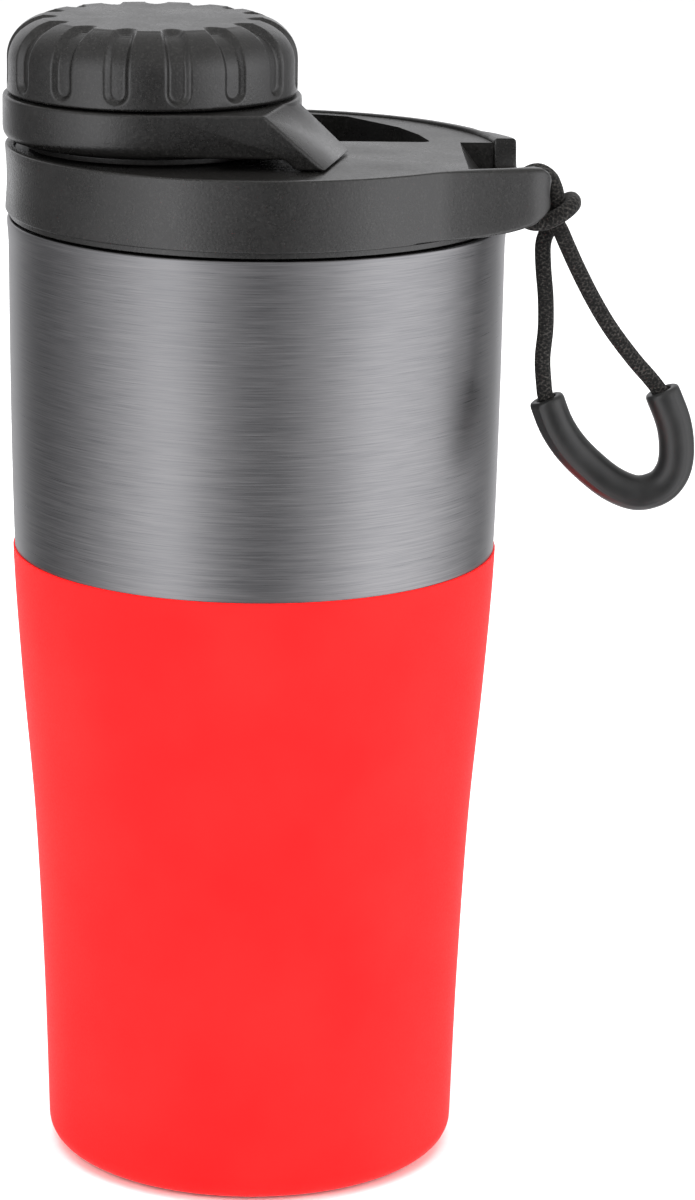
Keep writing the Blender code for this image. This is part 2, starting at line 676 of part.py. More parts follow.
def groove_depth(angle, radius, z):
    """Cap radius with its grip grooves taken out above their rounded lower ends."""
    if z < GROOVE_BOTTOM or radius < CAP_RADIUS - CAP_EDGE * 0.8:
        return radius
    if radius < CAP_RADIUS - 1.5 * MM and z < CAP_TOP - 3.0 * MM:
        return radius
    spacing = math.tau / GROOVES
    offset = (angle - math.radians(GROOVE_PHASE) + spacing / 2) % spacing - spacing / 2
    return radius - GROOVE_DEPTH if abs(offset) < spacing / 8 else radius


def cap_shell(mat):
    inner = 22.4 * MM
    roof = CAP_TOP - 1.6 * MM
    segments = GROOVES * 5
    edge = arc((CAP_RADIUS - CAP_EDGE, CAP_TOP - CAP_EDGE), CAP_EDGE, 0.0, 90.0, 4)
    outline = [(inner, CAP_BOTTOM), (CAP_RADIUS, CAP_BOTTOM), (CAP_RADIUS, GROOVE_BOTTOM - 0.5 * MM)]
    outline += [(CAP_RADIUS, GROOVE_BOTTOM + 0.3 * MM)] + edge + [(0.0, CAP_TOP), (0.0, roof)]
    outline += [(inner - 4.0 * MM, roof), (inner, roof - 3.0 * MM)]
    turn = math.radians(GROOVE_PHASE)

    def shape(angle, radius, z):
        return groove_depth(angle + turn, radius, z)

    shell = revolve("cap_shell", outline, mat, segments, shape=shape)
    shell.data.transform(Matrix.Translation((SPOUT_X, 0.0, 0.0)) @ Matrix.Rotation(turn, 4, "Z"))
    return shell


def cap_liner(mat):
    outer = 22.0 * MM
    bore = 20.2 * MM
    high = CAP_TOP - 1.9 * MM
    roof = high - 1.0 * MM
    outline = [(bore, CAP_BOTTOM + 0.2 * MM), (outer, CAP_BOTTOM + 0.2 * MM), (outer, high - 3.2 * MM)]
    outline += [(outer - 4.2 * MM, high), (0.0, high), (0.0, roof), (bore - 2.0 * MM, roof)]
    outline += [(bore, roof - 0.4 * MM)]
    liner = revolve("cap_liner", outline, mat, centre=(SPOUT_X, 0.0))
    ridge = thread("cap_thread_tool", bore + 0.3 * MM, bore - 1.2 * MM,
                   CAP_PITCH, 1.25, 190.1 * MM, 1.1 * MM, (SPOUT_X, 0.0))
    return combine(liner, ridge, "UNION")


def cap(cap_pivot, seal_pivot, mats):
    for piece in (cap_shell(mats["black"]), cap_liner(mats["inner_black"])):
        hang(piece, cap_pivot)
    seal = ring("cap_gasket", 12.0 * MM, 18.0 * MM, NECK_TOP + GAP, NECK_TOP + 1.3 * MM, mats["silicone"],
                (SPOUT_X, 0.0))
    hang(seal, seal_pivot)


# ---------------------------------------------------------------- pull cord

def pull_cord(lid_pivot, pull_pivot, mats):
    front = route(HITCH_HALF)
    rear = route(HITCH_HALF, side=1.0)
    hitch = catmull(rear + front[::-1], 2)
    hang(cord("cord_hitch", hitch, mats["cord"]), lid_pivot)
    left = catmull(route(LEFT_STRAND), 1)
    right = catmull(route(RIGHT_STRAND), 1)
    grip = catmull(route(GRIP_ROUTE), 2)
    pieces = [
        cord("cord_left_strand", left, mats["cord"], rounded_start=True),
        cord("cord_right_strand", right, mats["cord"], rounded_start=True),
        pipe("pull_grip", grip, GRIP_RADIUS, GRIP_BORE, mats["grip"]),
    ]
    for piece in pieces:
        hang(piece, pull_pivot)


def materials():
    return {
        "steel": material("brushed_steel", (0.42, 0.42, 0.43), 0.33, 1.0),
        "steel_inner": material("polished_liner_steel", (0.55, 0.55, 0.55), 0.22, 1.0),
        "steel_base": material("base_steel", (0.5, 0.5, 0.5), 0.35, 1.0),
        "coat": material("red_coat", (0.85, 0.02, 0.02), 0.45),
        "seal_glass": material("port_seal", (0.32, 0.30, 0.26), 0.5),
        "getter": material("getter_alloy", (0.3, 0.3, 0.3), 0.7, 0.6),
        "black": material("black_plastic", (0.035, 0.03, 0.03), 0.5),
        "band": material("band_plastic", (0.04, 0.036, 0.035), 0.45),
        "inner_black": material("inner_plastic", (0.02, 0.02, 0.02), 0.4),
        "foam": material("foam", (0.85, 0.84, 0.8), 0.9),
        "silicone": material("silicone", (0.12, 0.12, 0.12), 0.6),
        "cord": material("cord_braid", (0.015, 0.015, 0.015), 0.9),
        "grip": material("grip_rubber", (0.025, 0.025, 0.027), 0.55),
    }


def main():
    clear_scene()
    mats = materials()
    root = pivot("vessel_base", (0.0, 0.0, 0.0))
    lid_seal_pivot = pivot("lid_lift_axis", (0.0, 0.0, VESSEL_TOP), root)
    lid_pivot = pivot("lid_turn_axis", (0.0, 0.0, VESSEL_TOP), lid_seal_pivot)
    cap_seal_pivot = pivot("cap_lift_axis", (SPOUT_X, 0.0, COLLAR_TOP), lid_pivot)
    cap_pivot = pivot("cap_turn_axis", (SPOUT_X, 0.0, COLLAR_TOP), cap_seal_pivot)
    pull_pivot = pivot("pull_swing_axis", PIVOT, lid_pivot)
    vessel(root, mats)
    lid(lid_pivot, lid_seal_pivot, mats)
    cap(cap_pivot, cap_seal_pivot, mats)
    pull_cord(lid_pivot, pull_pivot, mats)


main()
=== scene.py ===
import math

import bmesh
import bpy
from mathutils import Matrix, Vector


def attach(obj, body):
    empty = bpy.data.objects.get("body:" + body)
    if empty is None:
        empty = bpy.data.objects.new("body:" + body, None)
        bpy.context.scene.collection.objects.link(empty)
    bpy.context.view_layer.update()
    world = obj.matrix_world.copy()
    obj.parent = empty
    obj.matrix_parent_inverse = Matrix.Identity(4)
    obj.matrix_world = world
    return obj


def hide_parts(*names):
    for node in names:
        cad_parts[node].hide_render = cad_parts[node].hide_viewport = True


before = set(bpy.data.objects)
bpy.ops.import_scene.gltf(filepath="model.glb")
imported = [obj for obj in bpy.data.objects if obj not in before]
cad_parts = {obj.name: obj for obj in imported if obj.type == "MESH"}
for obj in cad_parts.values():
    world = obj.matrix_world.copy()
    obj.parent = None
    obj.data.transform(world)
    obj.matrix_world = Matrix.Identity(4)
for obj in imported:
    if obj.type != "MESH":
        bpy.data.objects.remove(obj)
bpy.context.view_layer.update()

MM = 0.001
SPOUT_X = -17.8
ROUND = 192

# Vessel outline, (z, outer radius) in mm, and the heights that its pieces meet at
OUTLINE = (
    (4.0, 35.7), (30.0, 36.5), (60.0, 38.0), (85.0, 40.1), (106.0, 41.5), (130.0, 42.1), (162.0, 42.4),
)
BASE_FILLET = 4.0
COAT_TOP = 108.1
VESSEL_TOP = 165.2
BAND_LOW = 166.5

# Cord and grip routes in mm, as in the CAD: (x, distance in front of the knot's middle plane, z)
KNOT_Y = -15.0
CORD = 1.35  # the cord's radius
HITCH_HALF = (
    (49.5, 1.5, 168.9),
    (49.6, 1.5, 170.8),
    (49.45, 1.5, 172.7),
    (48.55, 1.6, 174.5),
    (46.7, 1.9, 175.45),
    (44.8, 2.4, 174.7),
    (43.55, 2.9, 173.0),
    (43.3, 3.4, 171.0),
    (43.7, 3.9, 169.1),
    (45.3, 4.3, 167.95),
    (47.6, 4.5, 168.0),
    (49.6, 4.5, 168.9),
    (51.2, 4.0, 169.9),
    (52.2, 2.6, 170.6),
    (52.45, 0.9, 170.8),
)
LEFT_STRAND = (
    (49.8, -1.5, 168.75),
    (49.8, -1.5, 167.4),
    (48.7, -1.5, 165.9),
    (47.8, -1.4, 163.4),
    (47.9, -1.2, 159.4),
    (48.4, -0.9, 154.2),
    (48.5, -0.6, 149.1),
    (48.1, -0.3, 144.0),
    (48.4, 0.0, 139.7),
    (48.8, 0.0, 137.3),
    (50.0, 0.0, 134.0),
)
RIGHT_STRAND = (
    (49.8, 1.5, 168.75),
    (49.8, 1.5, 167.4),
    (50.6, 1.5, 165.8),
    (51.6, 1.5, 163.6),
    (53.6, 1.3, 159.4),
    (56.3, 1.0, 154.3),
    (59.4, 0.7, 149.3),
    (63.3, 0.3, 144.2),
    (66.2, 0.0, 140.9),
    (68.0, 0.0, 138.6),
    (69.5, 0.0, 135.8),
)
GRIP_ROUTE = (
    (48.8, 0.0, 137.3),
    (50.6, 0.0, 132.8),
    (53.0, 0.0, 129.1),
    (56.2, 0.0, 125.8),
    (60.0, 0.0, 122.8),
    (63.6, 0.0, 121.2),
    (66.3, 0.0, 121.2),
    (69.0, 0.0, 122.5),
    (70.7, 0.0, 125.2),
    (71.1, 0.0, 128.8),
    (70.4, 0.0, 133.4),
    (68.2, 0.0, 138.9),
)


# ---------------------------------------------------------------- curves

def catmull(points, per_span):
    """A smooth curve through points, with per_span steps between neighbours."""
    points = [Vector(p) for p in points]
    padded = [2 * points[0] - points[1]] + points + [2 * points[-1] - points[-2]]
    curve = []
    for p0, p1, p2, p3 in zip(padded, padded[1:], padded[2:], padded[3:]):
        for i in range(per_span):
            t = i / per_span
            bend = 2 * p0 - 5 * p1 + 4 * p2 - p3
            twist = 3 * p1 - p0 - 3 * p2 + p3
            curve.append(0.5 * (2 * p1 + (p2 - p0) * t + bend * t * t + twist * t * t * t))
    curve.append(points[-1])
    return curve


def even(points, step):
    """The same line with evenly spaced points."""
    along = [0.0]
    for a, b in zip(points, points[1:]):
        along.append(along[-1] + (b - a).length)
    count = max(2, round(along[-1] / step))
    result = []
    k = 0
    for i in range(count + 1):
        s = along[-1] * i / count
        while k < len(points) - 2 and along[k + 1] < s:
            k += 1
        t = (s - along[k]) / max(along[k + 1] - along[k], 1e-9)
        result.append(points[k].lerp(points[k + 1], min(t, 1.0)))
    return result


def length_of(points):
    return sum((b - a).length for a, b in zip(points, points[1:]))


def route(points, side=-1.0):
    return [Vector((x, KNOT_Y + side * offset, z)) for x, offset, z in points]


def arc(centre, radius, start, end, steps):
    points = []
    for i in range(steps + 1):
        angle = math.radians(start + (end - start) * i / steps)
        points.append((centre[0] + radius * math.cos(angle), centre[1] + radius * math.sin(angle)))
    return points


def soften(points, steps=4):
    """Round a closed outline's corners: each point is (a, b) or (a, b, radius)."""
    result = []
    count = len(points)
    for i, point in enumerate(points):
        if len(point) == 2 or point[2] == 0:
            result.append((point[0], point[1]))
            continue
        here = Vector(point[:2])
        back = Vector(points[i - 1][:2]) - here
        ahead = Vector(points[(i + 1) % count][:2]) - here
        half = back.angle(ahead) / 2
        reach = min(point[2] / math.tan(half), back.length * 0.49, ahead.length * 0.49)
        start = here + back.normalized() * reach
        end = here + ahead.normalized() * reach
        for k in range(steps + 1):
            t = k / steps
            spot = start * (1 - t) ** 2 + here * 2 * t * (1 - t) + end * t * t
            result.append((spot.x, spot.y))
    return result


def body_radius(z):
    """The vessel's outer radius at a height, on a smooth curve through OUTLINE."""
    heights = [p[0] for p in OUTLINE]
    radii = [p[1] for p in OUTLINE]
    if z >= heights[-1]:
        return radii[-1]
    z = max(z, heights[0])
    i = max(k for k in range(len(heights) - 1) if heights[k] <= z)

    def slope(k):
        low, high = max(k - 1, 0), min(k + 1, len(heights) - 1)
        return (radii[high] - radii[low]) / (heights[high] - heights[low])

    span = heights[i + 1] - heights[i]
    t = (z - heights[i]) / span
    start, end = slope(i) * span, slope(i + 1) * span
    cube, square = t * t * t, t * t
    blend = (2 * cube - 3 * square + 1) * radii[i] + (cube - 2 * square + t) * start
    return blend + (3 * square - 2 * cube) * radii[i + 1] + (cube - square) * end


def wall(low, high, inset):
    """The vessel's outline, moved inwards, in steps of about 2 mm."""
    steps = max(1, round((high - low) / 2.0))
    heights = [low + (high - low) * i / steps for i in range(steps + 1)]
    return [(body_radius(z) - inset, z) for z in heights]


# ---------------------------------------------------------------- meshes

def finish_mesh(name, bm, mat, sharp=38.0):
    bmesh.ops.recalc_face_normals(bm, faces=bm.faces)
    mesh = bpy.data.meshes.new(name)
    bm.to_mesh(mesh)
    bm.free()
    mesh.shade_smooth()
    mesh.set_sharp_from_angle(angle=math.radians(sharp))
    mesh.materials.append(mat)
    obj = bpy.data.objects.new(name, mesh)
    bpy.context.scene.collection.objects.link(obj)
    return obj


def add_rings(bm, rings, closed=False):
    """Quads between rings of points in mm; a row that isn't closed gets end faces."""
    rows = [[bm.verts.new(Vector(p) * MM) for p in ring] for ring in rings]
    pairs = list(zip(rows, rows[1:]))
    if closed:
        pairs.append((rows[-1], rows[0]))
    for here, there in pairs:
        count = len(here)
        for k in range(count):
            j = (k + 1) % count
            bm.faces.new((here[k], here[j], there[j], there[k]))
    if not closed:
        bm.faces.new(rows[0][::-1])
        bm.faces.new(rows[-1])


def add_revolve(bm, outline, cx=0.0, segments=ROUND, shape=None):
    """Turn an outline of (radius, z) round an upright axis; shape can move each point."""
    rings = []
    for index, (radius, z) in enumerate(outline):
        if radius < 1e-6:
            rings.append([bm.verts.new(Vector((cx, 0.0, z)) * MM)])
            continue
        ring = []
        for i in range(segments):
            angle = math.tau * i / segments
            r, level = shape(angle, index, radius, z) if shape else (radius, z)
            ring.append(bm.verts.new(Vector((cx + r * math.cos(angle), r * math.sin(angle), level)) * MM))
        rings.append(ring)
    for ring, after in zip(rings, rings[1:] + rings[:1]):
        for i in range(segments):
            j = (i + 1) % segments
            corners = [ring[i % len(ring)], ring[j % len(ring)], after[j % len(after)], after[i % len(after)]]
            corners = list(dict.fromkeys(corners))
            if len(corners) > 2:
                bm.faces.new(corners)


def revolve(name, outline, mat, cx=0.0, segments=ROUND):
    bm = bmesh.new()
    add_revolve(bm, outline, cx, segments)
    return finish_mesh(name, bm, mat)


def drum(radius, low, high, mat, segments=ROUND):
    """A plain cylinder on the spout's axis, to cut with."""
    return revolve("tool", [(0.0, low), (radius, low), (radius, high), (0.0, high)], mat, SPOUT_X, segments)


def add_thread(bm, root, crest, pitch, turns, first_z, width, cx=0.0):
    """A helical ridge with a rounded crest, fading out at both ends."""
    per_turn = 96
    steps = round(turns * per_turn)
    rings = []
    for i in range(steps + 1):
        angle = math.tau * i / per_turn
        z = first_z + pitch * i / per_turn
        rise = min(1.0, (min(i, steps - i) + 1) / 12)
        tip = root + (crest - root) * (0.2 + 0.8 * rise)
        ring = []
        for a, b in ((0.0, -0.5), (0.75, -0.3), (1.0, -0.15), (1.0, 0.15), (0.75, 0.3), (0.0, 0.5)):
            radius = root + (tip - root) * a
            ring.append((cx + radius * math.cos(angle), radius * math.sin(angle), z + b * width))
        rings.append(ring)
    add_rings(bm, rings)


def prism(name, polygon, low, high, mat):
    bm = bmesh.new()
    add_rings(bm, [[(x, y, low) for x, y in polygon], [(x, y, high) for x, y in polygon]])
    return finish_mesh(name, bm, mat)


def hull(name, points, mat):
    bm = bmesh.new()
    for point in points:
        bm.verts.new(Vector(point) * MM)
    result = bmesh.ops.convex_hull(bm, input=bm.verts)
    spare = [v for v in result["geom_interior"] if isinstance(v, bmesh.types.BMVert)]
    bmesh.ops.delete(bm, geom=spare, context="VERTS")
    bmesh.ops.dissolve_limit(bm, angle_limit=math.radians(1.0), verts=bm.verts, edges=bm.edges)
    return finish_mesh(name, bm, mat)


def settle(obj):
    """Apply an object's modifiers to its mesh."""
    graph = bpy.context.evaluated_depsgraph_get()
    mesh = bpy.data.meshes.new_from_object(obj.evaluated_get(graph))
    obj.modifiers.clear()
    obj.data = mesh
    return obj


def carve(obj, tool, operation="DIFFERENCE"):
    modifier = obj.modifiers.new("carve", "BOOLEAN")
    modifier.operation = operation
    modifier.solver = "EXACT"
    modifier.object = tool
    settle(obj)
    bpy.data.objects.remove(tool, do_unlink=True)


def round_edges(obj, width, angle=32.0):
    modifier = obj.modifiers.new("round", "BEVEL")
    modifier.width = width * MM
    modifier.segments = 3
    modifier.limit_method = "ANGLE"
    modifier.angle_limit = math.radians(angle)
    modifier.miter_outer = "MITER_ARC"
    modifier.harden_normals = True
    return settle(obj)


# ---------------------------------------------------------------- materials

class Nodes:
    """Small helper that chains shader nodes."""

    def __init__(self, name):
        self.mat = bpy.data.materials.new(name)
        self.mat.use_nodes = True
        self.tree = self.mat.node_tree
        self.shader = self.tree.nodes["Principled BSDF"]
        self.coords = self.tree.nodes.new("ShaderNodeTexCoord")

    def link(self, source, target):
        self.tree.links.new(source, target)

    def put(self, socket, value):
        if isinstance(value, (int, float, tuple)):
            socket.default_value = value
        else:
            self.link(value, socket)

    def math(self, operation, a, b=0.0):
        node = self.tree.nodes.new("ShaderNodeMath")
        node.operation = operation
        self.put(node.inputs[0], a)
        self.put(node.inputs[1], b)
        return node.outputs[0]

    def weigh(self, a, b, share):
        """A share of a, and the rest of b."""
        return self.math("ADD", self.math("MULTIPLY", a, share), self.math("MULTIPLY", b, 1.0 - share))

    def from_axis(self, x, y):
        """Distance from the upright axis."""
        return self.math("SQRT", self.math("ADD", self.math("MULTIPLY", x, x), self.math("MULTIPLY", y, y)))

    def split(self, vector):
        node = self.tree.nodes.new("ShaderNodeSeparateXYZ")
        self.link(vector, node.inputs[0])
        return node.outputs

    def join(self, x, y, z):
        node = self.tree.nodes.new("ShaderNodeCombineXYZ")
        for socket, value in zip(node.inputs, (x, y, z)):
            self.put(socket, value)
        return node.outputs[0]

    def noise(self, vector, scale, detail=2.0, roughness=0.5):
        node = self.tree.nodes.new("ShaderNodeTexNoise")
        self.link(vector, node.inputs["Vector"])
        node.inputs["Scale"].default_value = scale
        node.inputs["Detail"].default_value = detail
        node.inputs["Roughness"].default_value = roughness
        return node.outputs["Fac"]

    def spread(self, value, low, high, out_low, out_high):
        node = self.tree.nodes.new("ShaderNodeMapRange")
        self.link(value, node.inputs["Value"])
        for key, number in zip(("From Min", "From Max", "To Min", "To Max"), (low, high, out_low, out_high)):
            node.inputs[key].default_value = number
        return node.outputs[0]

    def blend(self, factor, dark, light):
        node = self.tree.nodes.new("ShaderNodeMix")
        node.data_type = "RGBA"
        self.put(node.inputs["Factor"], factor)
        self.put(node.inputs["A"], dark)
        self.put(node.inputs["B"], light)
        return node.outputs["Result"]

    def bump(self, height, strength, distance):
        node = self.tree.nodes.new("ShaderNodeBump")
        node.inputs["Strength"].default_value = strength
        node.inputs["Distance"].default_value = distance * MM
        self.link(height, node.inputs["Height"])
        return node.outputs[0]

    def shade(self, **values):
        names = {
            "colour": "Base Color", "roughness": "Roughness", "metallic": "Metallic", "normal": "Normal",
            "specular": "Specular IOR Level", "anisotropic": "Anisotropic", "tangent": "Tangent",
            "sheen": "Sheen Weight", "sheen_roughness": "Sheen Roughness",
        }
        for key, value in values.items():
            self.put(self.shader.inputs[names[key]], value)
        return self.mat


def grey(value, warmth=0.0):
    return (value * (1 + warmth), value, value * (1 - warmth), 1.0)


def turned(n, along, across):
    """Coordinates that wrap round the upright axis: turn, height and radius."""
    x, y, z = n.split(n.coords.outputs["Object"])
    turn = n.math("ARCTAN2", y, x)
    return n.join(n.math("MULTIPLY", turn, along), n.math("MULTIPLY", z, across), n.from_axis(x, y))


def brushed_steel():
    """Steel brushed round the vessel: fine level scratches with slow changes along each one."""
    n = Nodes("brushed_steel")
    fine = n.noise(turned(n, 0.006, 9.0), 1000.0, 3.0, 0.6)
    long = n.noise(turned(n, 0.003, 4.5), 1000.0, 2.0, 0.55)
    cloud = n.noise(turned(n, 0.02, 0.5), 60.0, 2.0, 0.5)
    mixed = n.weigh(fine, long, 0.6)
    tone = n.weigh(mixed, cloud, 0.85)
    dark, light = (0.195, 0.195, 0.202, 1.0), (0.31, 0.305, 0.31, 1.0)
    colour = n.blend(n.spread(tone, 0.36, 0.64, 0.0, 1.0), dark, light)
    rough = n.spread(mixed, 0.3, 0.7, 0.26, 0.38)
    normal = n.bump(mixed, 0.15, 0.02)
    tangent = n.tree.nodes.new("ShaderNodeTangent")
    tangent.direction_type = "RADIAL"
    tangent.axis = "Z"
    return n.shade(colour=colour, roughness=rough, metallic=1.0, normal=normal, anisotropic=0.5,
                   tangent=tangent.outputs[0])


def spun_steel(name, dark, light, rough):
    """Smooth spun steel, for the liner and the base disc."""
    n = Nodes(name)
    x, y, z = n.split(n.coords.outputs["Object"])
    rings = n.join(0.0, z, n.from_axis(x, y))
    fine = n.noise(rings, 3200.0, 3.0, 0.6)
    cloud = n.noise(n.coords.outputs["Object"], 60.0, 3.0, 0.5)
    tone = n.weigh(fine, cloud, 0.7)
    colour = n.blend(n.spread(tone, 0.3, 0.7, 0.0, 1.0), grey(dark), grey(light))
    return n.shade(colour=colour, roughness=n.spread(fine, 0.3, 0.7, rough, rough + 0.12), metallic=1.0,
                   normal=n.bump(fine, 0.2, 0.01))


def red_coat():
    """Satin powder coat with a very fine pebble."""
    n = Nodes("red_coat")
    space = n.coords.outputs["Object"]
    pebble = n.noise(space, 2600.0, 2.0, 0.5)
    cloud = n.noise(space, 45.0, 3.0, 0.5)
    dark, light = (0.92, 0.007, 0.008, 1.0), (0.96, 0.011, 0.011, 1.0)
    colour = n.blend(n.spread(cloud, 0.35, 0.65, 0.0, 1.0), dark, light)
    rough = n.spread(pebble, 0.3, 0.7, 0.48, 0.60)
    return n.shade(colour=colour, roughness=rough, normal=n.bump(pebble, 0.2, 0.05), specular=0.12)


def moulded(name, dark, light, rough, grain):
    """Black plastic with a spark-eroded grain: fine pits, a few lighter specks and rubbed patches."""
    n = Nodes(name)
    space = n.coords.outputs["Object"]
    pits = n.noise(space, 1900.0, 3.0, 0.65)
    specks = n.noise(space, 2800.0, 1.0, 0.5)
    cloud = n.noise(space, 90.0, 4.0, 0.55)
    tone = n.weigh(cloud, pits, 0.5)
    body = n.blend(n.spread(tone, 0.3, 0.7, 0.0, 1.0), grey(dark, 0.05), grey(light, 0.05))
    colour = n.blend(n.spread(specks, 0.54, 0.70, 0.0, 0.25), body, grey(light * 4.0, 0.05))
    surface = n.weigh(pits, specks, 0.7)
    rough_map = n.math("ADD", n.spread(cloud, 0.3, 0.7, rough - 0.05, rough + 0.05),
                       n.spread(pits, 0.3, 0.7, -0.04, 0.06))
    return n.shade(colour=colour, roughness=rough_map, normal=n.bump(surface, grain, 0.12), specular=0.7)


def braid():
    """Braided polyester: crossing bundles with fine filaments, and painted shade darkening the gaps between
    them.
    """
    n = Nodes("cord_braid")
    pitch, bundles = 0.8, 6
    uv = n.tree.nodes.new("ShaderNodeUVMap")
    uv.uv_map = "UVMap"
    u, v, _ = n.split(uv.outputs[0])
    along = n.math("MULTIPLY", u, math.tau / pitch)
    around = n.math("MULTIPLY", v, math.tau * bundles)
    leaning = [n.math("SINE", n.math(way, along, around)) for way in ("ADD", "SUBTRACT")]
    weave = n.math("MAXIMUM", *leaning)
    threads = n.noise(n.coords.outputs["Object"], 3200.0, 2.0, 0.6)
    fuzz = n.noise(n.coords.outputs["Object"], 1500.0, 3.0, 0.6)
    tone = n.weigh(threads, fuzz, 0.7)
    body = n.blend(n.spread(tone, 0.44, 0.68, 0.0, 1.0), grey(0.003, 0.1), grey(0.050, 0.08))
    # painted shade: where the weave is low, in the gaps between the bundles, the colour is darkened to near
    # black
    colour = n.blend(n.spread(weave, 0.1, 0.8, 0.0, 1.0), grey(0.004), body)
    height = n.weigh(weave, threads, 0.5)
    return n.shade(colour=colour, roughness=0.85, normal=n.bump(height, 0.7, 0.12), specular=0.3,
                   sheen=0.04, sheen_roughness=0.5)


def rubber(name, dark, light, rough):
    n = Nodes(name)
    space = n.coords.outputs["Object"]
    fine = n.noise(space, 3000.0, 2.0, 0.5)
    cloud = n.noise(space, 150.0, 4.0, 0.6)
    colour = n.blend(n.spread(cloud, 0.3, 0.7, 0.0, 1.0), grey(dark), grey(light))
    rough_map = n.math("ADD", n.spread(cloud, 0.3, 0.7, rough - 0.06, rough + 0.06),
                       n.spread(fine, 0.3, 0.7, -0.03, 0.03))
    return n.shade(colour=colour, roughness=rough_map, normal=n.bump(fine, 0.15, 0.05), specular=0.5)


def grainy(name, dark, light, rough, scale):
    """Matt granular solid: foam, sintered alloy or dull glass."""
    n = Nodes(name)
    space = n.coords.outputs["Object"]
    cells = n.noise(space, scale, 4.0, 0.65)
    colour = n.blend(n.spread(cells, 0.35, 0.65, 0.0, 1.0), dark, light)
    return n.shade(colour=colour, roughness=n.spread(cells, 0.3, 0.7, rough - 0.08, rough + 0.08),
                   normal=n.bump(cells, 0.5, 0.3))


def floor_paper():
    n = Nodes("floor_paper")
    space = n.coords.outputs["Object"]
    fibre = n.noise(space, 700.0, 3.0, 0.5)
    colour = n.blend(n.spread(fibre, 0.3, 0.7, 0.0, 1.0), grey(0.90), grey(0.93))
    return n.shade(colour=colour, roughness=0.9, specular=0.1, normal=n.bump(fibre, 0.05, 0.05))


# ---------------------------------------------------------------- camera and light

def camera():
    """A long lens in front of the object and a little above it, looking slightly down."""
    yaw, pitch, roll = (math.radians(a) for a in (1.24, 15.03, 0.80))
    sensor_height, sensor_width, lens = 24.0, 13.9, 89.5
    spot = (0.0, -0.75, 0.2992)
    forward = Vector((math.sin(yaw) * math.cos(pitch), math.cos(yaw) * math.cos(pitch), -math.sin(pitch)))
    right = Vector((math.cos(yaw), -math.sin(yaw), 0.0))
    up = right.cross(forward)
    across = right * math.cos(roll) + up * math.sin(roll)
    upright = up * math.cos(roll) - right * math.sin(roll)
    data = bpy.data.cameras.new("camera")
    data.sensor_fit = "VERTICAL"
    data.sensor_height = sensor_height
    data.sensor_width = sensor_width
    data.lens = lens
    data.clip_start = 0.01
    obj = bpy.data.objects.new("camera", data)
    bpy.context.scene.collection.objects.link(obj)
    turn = Matrix((across, upright, -forward)).transposed().to_4x4()
    obj.matrix_world = Matrix.Translation(spot) @ turn
    bpy.context.scene.camera = obj


def area(name, spot, target, width, height, power):
    """A rectangular light that neither the camera nor a reflection sees."""
    data = bpy.data.lights.new(name, "AREA")
    data.shape = "RECTANGLE"
    data.size = width
    data.size_y = height
    data.energy = power
    obj = bpy.data.objects.new(name, data)
    bpy.context.scene.collection.objects.link(obj)
    direction = Vector(target) - Vector(spot)
    turn = direction.to_track_quat("-Z", "Y").to_matrix().to_4x4()
    obj.matrix_world = Matrix.Translation(spot) @ turn
    obj.visible_camera = False
    obj.visible_glossy = False


def zero_to_one(tree, value, low, high):
    """Stretch the range from low to high to 0 to 1."""
    node = tree.nodes.new("ShaderNodeMapRange")
    for key, number in zip(("From Min", "From Max", "To Min", "To Max"), (low, high, 0.0, 1.0)):
        node.inputs[key].default_value = number
    tree.links.new(value, node.inputs["Value"])
    return node.outputs[0]


def studio():
    """A light tent: bright panels left and right of the front, weaker ones behind, dark gaps between."""
    world = bpy.data.worlds.new("tent")
    world.use_nodes = True
    tree = world.node_tree
    coords = tree.nodes.new("ShaderNodeTexCoord")
    split = tree.nodes.new("ShaderNodeSeparateXYZ")
    tree.links.new(coords.outputs["Generated"], split.inputs[0])
    turn = tree.nodes.new("ShaderNodeMath")
    turn.operation = "ARCTAN2"
    tree.links.new(split.outputs[0], turn.inputs[0])
    tree.links.new(split.outputs[1], turn.inputs[1])
    around = zero_to_one(tree, turn.outputs[0], -math.pi, math.pi)
    ramp = tree.nodes.new("ShaderNodeValToRGB")
    ramp.color_ramp.interpolation = "EASE"
    # (position, brightness): 0 and 1 are the front, 0.25 is -X, 0.5 is behind and 0.75 is +X
    stops = ((0.0, 0.25), (0.045, 0.6), (0.11, 2.0), (0.18, 1.1), (0.25, 0.42), (0.32, 0.17), (0.37, 0.35),
             (0.43, 1.1), (0.50, 0.8), (0.55, 1.3), (0.60, 0.45), (0.64, 0.30), (0.69, 0.8), (0.76, 1.7),
             (0.84, 2.0), (0.91, 0.9), (0.975, 0.25), (1.0, 0.25))
    elements = ramp.color_ramp.elements
    while len(elements) < len(stops):
        elements.new(0.5)
    for element, (position, value) in zip(elements, stops):
        element.position = position
        element.color = (value, value, value * 1.02, 1.0)
    tree.links.new(around, ramp.inputs[0])
    above = zero_to_one(tree, split.outputs[2], 0.25, 0.75)
    mix = tree.nodes.new("ShaderNodeMix")
    mix.data_type = "RGBA"
    tree.links.new(above, mix.inputs["Factor"])
    tree.links.new(ramp.outputs[0], mix.inputs["A"])
    mix.inputs["B"].default_value = (0.5, 0.5, 0.5, 1.0)
    background = tree.nodes["Background"]
    tree.links.new(mix.outputs["Result"], background.inputs["Color"])
    background.inputs["Strength"].default_value = 1.0
    bpy.context.scene.world = world
    area("key_left", (-0.7, -0.9, 0.75), (0.0, 0.0, 0.12), 0.6, 0.9, 10.0)
    area("fill_right", (0.8, -0.8, 0.65), (0.0, 0.0, 0.12), 0.6, 0.9, 9.0)
    area("overhead", (0.0, 0.25, 1.3), (0.0, 0.1, 0.0), 1.6, 1.6, 30.0)
    bpy.context.scene.view_settings.view_transform = "Standard"


